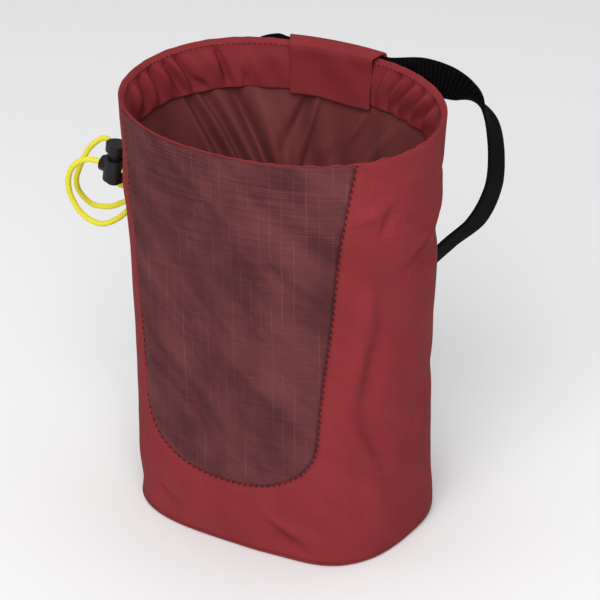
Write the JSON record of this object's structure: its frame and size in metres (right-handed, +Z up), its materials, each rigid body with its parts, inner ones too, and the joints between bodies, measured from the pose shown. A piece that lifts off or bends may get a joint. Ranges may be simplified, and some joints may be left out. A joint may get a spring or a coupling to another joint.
{
  "type": "climbing chalk bag",
  "caption": "Open cloth bucket for climbing chalk, with a gathered collar, a folded lining, a drawcord with a sprung cord lock, and a webbing belt held in a tunnel at the back of the rim.",
  "frame": {"origin": "centre of the flat base, on the surface that the bag stands on", "axes": "+Z up, -Y the front with the sewn-in panel, +Y the back with the belt, -X the side with the drawcord"},
  "size_m": [0.1666, 0.11, 0.1815],
  "materials": {
    "shell_fabric": "red ripstop nylon, slightly shiny",
    "panel_fabric": "dark maroon ripstop, matte",
    "lining_fabric": "maroon nylon lining, soft sheen",
    "webbing": "black ribbed webbing",
    "black_plastic": "moulded, satin",
    "yellow_cord": "braided round cord"
  },
  "bodies": {
    "bag": {"side_shell": "shell_fabric", "front_panel": "panel_fabric", "base_panel": "shell_fabric", "rim_collar": "shell_fabric", "lining": "lining_fabric", "belt_tunnel": "shell_fabric", "belt": "webbing", "belt_buckle": "black_plastic", "cord_lock_body": "black_plastic", "drawcord": "yellow_cord"},
    "button": {"cord_lock_button": "black_plastic"}
  },
  "joints": [
    {"name": "button_press", "type": "slide", "parent": "bag", "child": "button", "axis": [-0.1392, 0, -0.9903], "range_m": [0, 0.003], "stiffness_N_per_m": 1500}
  ]
}
